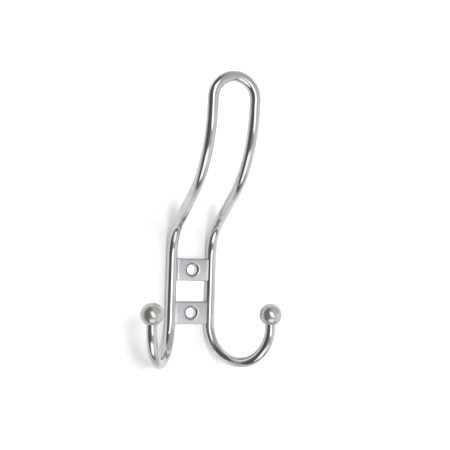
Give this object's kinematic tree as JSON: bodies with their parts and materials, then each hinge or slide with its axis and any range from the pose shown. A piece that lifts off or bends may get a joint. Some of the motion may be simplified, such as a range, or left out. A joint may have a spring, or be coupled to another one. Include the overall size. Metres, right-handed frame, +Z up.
{
  "type": "wall hook rack",
  "caption": "Bent chrome wire hook for a wall, with a hat loop on top, splayed coat hooks tipped with balls, and drilled screw plates between its legs.",
  "frame": {"origin": "on the wall, midway between the two screw holes", "axes": "+Z up, +X to the right for someone facing the wall, +Y into the wall; the hook stands out towards -Y"},
  "size_m": [0.0822, 0.0646, 0.1623],
  "materials": {
    "wire_chrome": "bright plated",
    "ball_chrome": "bright plated, slightly softer than the wire",
    "plate_satin": "satin plated"
  },
  "bodies": {
    "root": {"wire_frame": "wire_chrome", "left_ball": "ball_chrome", "right_ball": "ball_chrome", "upper_plate": "plate_satin", "lower_plate": "plate_satin"}
  },
  "joints": []
}
